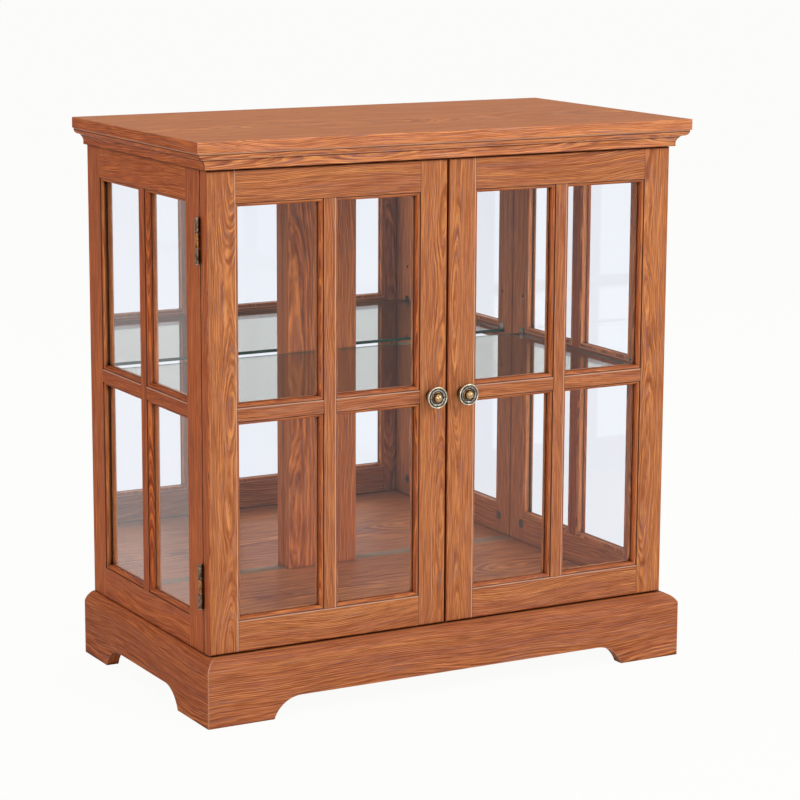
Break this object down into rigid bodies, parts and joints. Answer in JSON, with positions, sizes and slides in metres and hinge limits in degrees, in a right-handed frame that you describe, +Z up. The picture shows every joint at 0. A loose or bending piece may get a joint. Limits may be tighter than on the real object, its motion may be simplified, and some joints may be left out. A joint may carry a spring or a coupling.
{
  "type": "display cabinet",
  "caption": "Low glazed display cabinet with hinged doors, glazed sides, a glass shelf, mirrored back, moulded crown and arched bracket plinth.",
  "frame": {"origin": "on the floor, under the middle of the whole cabinet's bounding box", "axes": "+X to the right as seen by someone facing the doors, +Y from the doors to the back, +Z up"},
  "size_m": [0.813, 0.446, 0.827],
  "materials": {
    "oak_door": "satin lacquered oak, straight grain along each piece",
    "oak_side": "satin lacquered oak, straight grain along each piece",
    "oak_plinth": "satin lacquered oak, grain along the board",
    "oak_crown": "satin lacquered oak, grain along the moulding",
    "oak_top": "satin lacquered oak, grain across the width",
    "oak_post": "satin lacquered oak, upright grain",
    "oak_inner": "satin lacquered oak veneer",
    "oak_stop": "satin lacquered oak",
    "ply": "plain plywood",
    "glass": "clear, polished",
    "shelf_glass": "clear float glass with green cut edges",
    "mirror": "silvered glass",
    "antique_brass": "antiqued, satin",
    "pewter": "antiqued, dark pewter tone",
    "bronze": "dark bronze tone",
    "steel": "plated",
    "catch_plastic": "moulded"
  },
  "bodies": {
    "cabinet": {"plinth_front": "oak_plinth", "plinth_left": "oak_plinth", "plinth_right": "oak_plinth", "plinth_back": "ply", "corner_blocks": "ply", "floor_panel": "oak_inner", "left_side_front_stile": "oak_side", "left_side_rear_stile": "oak_side", "left_side_top_rail": "oak_side", "left_side_bottom_rail": "oak_side", "left_side_bars": "oak_side", "left_side_glass": "glass", "right_side_front_stile": "oak_side", "right_side_rear_stile": "oak_side", "right_side_top_rail": "oak_side", "right_side_bottom_rail": "oak_side", "right_side_bars": "oak_side", "right_side_glass": "glass", "side_glazing_stops": "oak_stop", "front_top_rail": "oak_inner", "head_rail": "oak_inner", "top_panel": "oak_inner", "centre_post": "oak_post", "mirror_left": "mirror", "mirror_right": "mirror", "back_boards": "ply", "top_board": "oak_top", "crown_front": "oak_crown", "crown_left": "oak_crown", "crown_right": "oak_crown", "glass_shelf": "shelf_glass", "shelf_clips": "bronze", "cam_fittings": "steel", "case_hinge_leaves": "antique_brass", "hinge_pins": "antique_brass", "case_hinge_screws": "antique_brass", "magnetic_catch": "catch_plastic"},
    "left_door": {"left_door_hinge_stile": "oak_door", "left_door_meeting_stile": "oak_door", "left_door_top_rail": "oak_door", "left_door_bottom_rail": "oak_door", "left_door_bars": "oak_door", "left_door_glass": "glass", "left_door_glazing_stops": "oak_stop", "left_door_knob": "pewter", "left_door_hinge_leaves": "antique_brass", "left_door_screws": "steel", "left_door_strike": "steel"},
    "right_door": {"right_door_hinge_stile": "oak_door", "right_door_meeting_stile": "oak_door", "right_door_top_rail": "oak_door", "right_door_bottom_rail": "oak_door", "right_door_bars": "oak_door", "right_door_glass": "glass", "right_door_glazing_stops": "oak_stop", "right_door_knob": "pewter", "right_door_hinge_leaves": "antique_brass", "right_door_screws": "steel", "right_door_strike": "steel"}
  },
  "joints": [
    {"name": "left_door_hinge", "type": "hinge", "parent": "cabinet", "child": "left_door", "pos_m": [-0.3875, -0.1745, 0.4395], "axis": [0, 0, -1], "range_deg": [0, 180]},
    {"name": "right_door_hinge", "type": "hinge", "parent": "cabinet", "child": "right_door", "pos_m": [0.3875, -0.1745, 0.4395], "axis": [0, 0, 1], "range_deg": [0, 180]}
  ]
}
